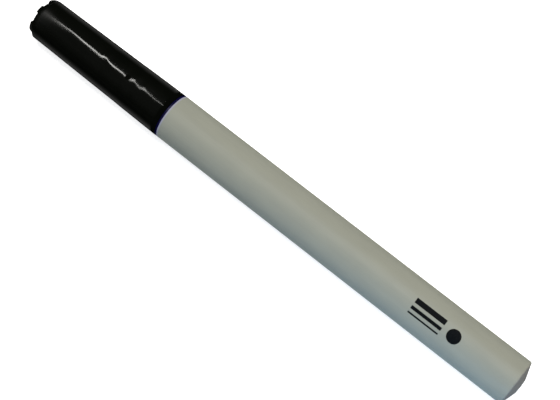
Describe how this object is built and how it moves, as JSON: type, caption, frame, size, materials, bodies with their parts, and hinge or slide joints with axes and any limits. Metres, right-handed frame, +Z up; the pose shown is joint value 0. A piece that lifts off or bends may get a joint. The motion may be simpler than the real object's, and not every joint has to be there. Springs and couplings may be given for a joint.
{
  "type": "fibre-tip marker",
  "caption": "Slim round marker with its cap on: tapered black cap with a castellated end, pale grey barrel, domed tail plug, ink reservoir and fibre nib inside.",
  "frame": {"origin": "on the marker's axis, in the middle of its length with the cap on", "axes": "+X along the axis from the cap towards the tail plug, +Z up as the marker lies on a table"},
  "size_m": [0.1408, 0.0116, 0.0116],
  "materials": {
    "cap_black": "gloss moulded black",
    "barrel_grey": "satin warm grey",
    "plug_grey": "satin moulded grey",
    "section_navy": "satin moulded dark blue",
    "inner_white": "milky moulded plastic",
    "nib_fibre": "hard fibre soaked with black ink",
    "reservoir_fibre": "soft fibre soaked with black ink",
    "film_clear": "thin plastic film"
  },
  "bodies": {
    "marker": {"front_section": "section_navy", "nib": "nib_fibre", "barrel_tube": "barrel_grey", "ink_reservoir": "reservoir_fibre", "reservoir_wrap": "film_clear", "breather_tube": "inner_white", "tail_plug": "plug_grey"},
    "cap": {"cap_shell": "cap_black", "inner_cap": "inner_white"}
  },
  "joints": [
    {"name": "cap_pull", "type": "slide", "parent": "marker", "child": "cap", "axis": [-1, 0, 0], "range_m": [0, 0.045]}
  ]
}
